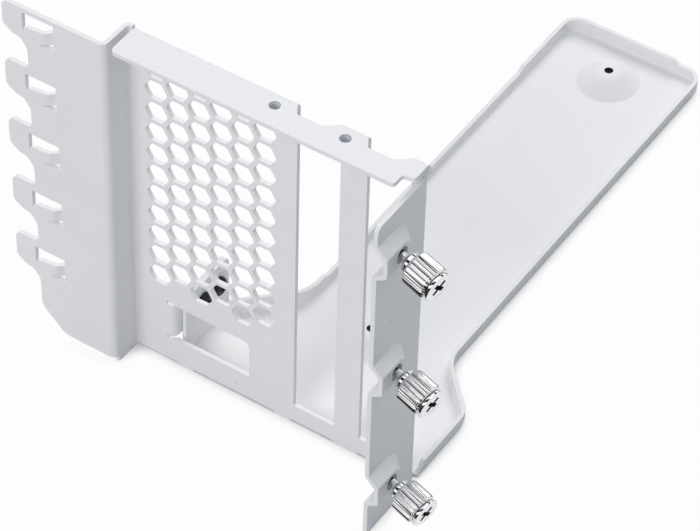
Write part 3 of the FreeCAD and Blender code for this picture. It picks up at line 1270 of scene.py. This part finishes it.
@dataclass
class Screws:
    """The three thumb screws and the two tray screws."""

    hole_x: float = 33.66 * MM
    hole_y: float = -11.4 * MM
    hole_tops: tuple[float, ...] = (-16.0 * MM, -56.64 * MM, -97.28 * MM)
    bodies: tuple[Body, ...] = (Body.UPPER, Body.MIDDLE, Body.LOWER)
    tray_seat: Point = (-42.21 * MM, 14.2 * MM, -98.0 * MM)
    tray_pitch: float = 7.0 * MM

    def thumbs(self, plate: bpy.types.Material, shade: bpy.types.Material) -> None:
        """Builds and plates the thumb screws.

        Args:
            plate: the bright plating.
            shade: the painted shade, near-black dull metal in the cross, in the groove and behind
                the sheet.
        """
        for body, z in zip(self.bodies, self.hole_tops):
            node = body.value.removesuffix("_body")
            screw = ThumbScrew().build(node + "_plated", Vector((self.hole_x, self.hole_y, z)))
            dress(screw, plate, shade)
            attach(screw, body.value)
            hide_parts(node)
            LOG.info("plated %s", node)

    def tray_screws(self, oxide: bpy.types.Material) -> None:
        """Builds and blackens the tray screws.

        Args:
            oxide: the black oxide.
        """
        for i, node in enumerate(("tray_screw_front", "tray_screw_rear")):
            seat = Vector(self.tray_seat) + Vector((0.0, self.tray_pitch * i, 0.0))
            screw = TrayScrew().build(node + "_black", seat)
            dress(screw, oxide, oxide)
            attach(screw, Body.BRACKET.value)
            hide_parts(node)
            LOG.info("blackened %s", node)


@dataclass
class TappedHoles:
    """Thread ridges inside the tapped holes of the flange and the tray.

    The collar's wall has two points, one set from the sheet's underside and one from the
    collar's end, each with its width beyond the hole.
    """

    steps: int = 48
    flange_x: float = 10.16 * MM
    flange_r: float = 1.5 * MM
    flange_collar: float = 1.3 * MM
    boss_x: float = -4.96 * MM
    boss_y: tuple[float, ...] = (39.5 * MM, 164.5 * MM)
    boss_top: float = -108.1 * MM
    boss_r: float = 1.3 * MM
    sheet: float = 1.2 * MM
    pitch: float = 0.6 * MM
    depth: float = 0.22 * MM
    lining: float = 0.06 * MM
    lining_gap: float = 0.005 * MM
    lining_mouth: tuple[float, float] = (0.05 * MM, 0.12 * MM)
    lining_short: float = 0.02 * MM
    ridge_start: float = 0.35 * MM
    ridge_short: float = 0.55 * MM
    ridge_root: float = 0.02 * MM
    collar_sunk: float = 0.1 * MM
    collar_wall: tuple[tuple[float, float], ...] = ((0.15 * MM, 0.75 * MM), (-0.1 * MM, 0.6 * MM))
    collar_foot: float = 1.1 * MM
    collar_lip: float = 0.45 * MM

    def build(
        self,
        coat: bpy.types.Material,
        bare: bpy.types.Material,
        dark: bpy.types.Material,
    ) -> None:
        """Builds the threads, with a short drawn collar under each flange hole.

        Args:
            coat: the powder coat of the drawn collars.
            bare: the bare metal of the flange's threads.
            dark: the near-black painted shade on the bosses' threads, deep in the holes.
        """
        for side, name in ((-1, "left"), (1, "right")):
            top = Vector((side * self.flange_x, 0.0, 0.0))
            deep = self.sheet + self.flange_collar
            self.thread("card_thread_" + name, top, self.flange_r, deep, bare)
            self.collar("card_collar_" + name, top, coat)
        for y, name in zip(self.boss_y, ("near", "far")):
            top = Vector((self.boss_x, y, self.boss_top))
            # The bosses' threads take the near-black painted shade.
            self.thread("boss_thread_" + name, top, self.boss_r, self.sheet, dark)

    def sink(
        self,
        name: str,
        shells: list[bmesh.types.BMesh],
        top: Vector,
        material: bpy.types.Material,
    ) -> None:
        """Turns shells down into a hole as one piece of the bracket.

        Args:
            name: name of the piece.
            shells: the shells, built along +X from the hole's rim.
            top: centre of the hole's upper rim.
            material: the piece's material.
        """
        place = Matrix.Translation(top) @ Matrix.Rotation(math.pi / 2, 4, "Y")
        piece = joined(name, shells, place)
        dress(piece, material)
        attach(piece, Body.BRACKET.value)
        LOG.info("set %s", name)

    def thread(
        self,
        name: str,
        top: Vector,
        radius: float,
        length: float,
        metal: bpy.types.Material,
    ) -> None:
        """Builds the lining and the ridge of one tapped hole.

        Args:
            name: name of the piece.
            top: centre of the hole's upper rim.
            radius: radius of the hole.
            length: length of the hole.
            metal: the thread's metal.
        """
        tools = Turned(steps=self.steps)
        inner, outer = radius - self.lining, radius - self.lining_gap
        mouth, throat = self.lining_mouth
        end = length - self.lining_short
        lining = tools.lathe(
            [(mouth, outer), (end, outer), (end, inner), (throat, inner), (mouth, outer)]
        )
        ridge = tools.helix(
            start=self.ridge_start,
            length=length - self.ridge_short,
            root=inner + self.ridge_root,
            crest=inner - self.depth,
            pitch=self.pitch,
        )
        self.sink(name, [lining, ridge], top, metal)

    def collar(self, name: str, top: Vector, coat: bpy.types.Material) -> None:
        """Builds the short collar drawn down round one flange hole.

        Args:
            name: name of the piece.
            top: centre of the hole's upper rim.
            coat: the powder coat.
        """
        start = self.sheet - self.collar_sunk
        end = self.sheet + self.flange_collar
        (high, high_wall), (low, low_wall) = self.collar_wall
        ring = Turned(steps=self.steps).lathe(
            [
                (start, self.flange_r),
                (start, self.flange_r + self.collar_foot),
                (self.sheet + high, self.flange_r + high_wall),
                (end + low, self.flange_r + low_wall),
                (end, self.flange_r + self.collar_lip),
                (end, self.flange_r),
                (start, self.flange_r),
            ]
        )
        self.sink(name, [ring], top, coat)


def main() -> None:
    """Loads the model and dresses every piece."""
    logging.basicConfig(level=logging.INFO, format="%(name)s: %(message)s")
    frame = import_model()
    sizes = {"before": [list(corner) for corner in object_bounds()]}
    bpy.context.scene.view_settings.view_transform = "Standard"
    Viewpoint().build()
    Studio().build(sizes["before"][0][2])
    grain = Grain().make()
    coat = CoatFinish().make(grain)
    shade = SHADE.make(grain)
    Sheets().build(frame["nodes"], coat)
    screws = Screws()
    screws.thumbs(CHROME.make(grain), shade)
    screws.tray_screws(BLACK.make(grain))
    TappedHoles().build(coat, BARE.make(grain), shade)
    sizes["after"] = [list(corner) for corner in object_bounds()]


if __name__ == "__main__":
    main()
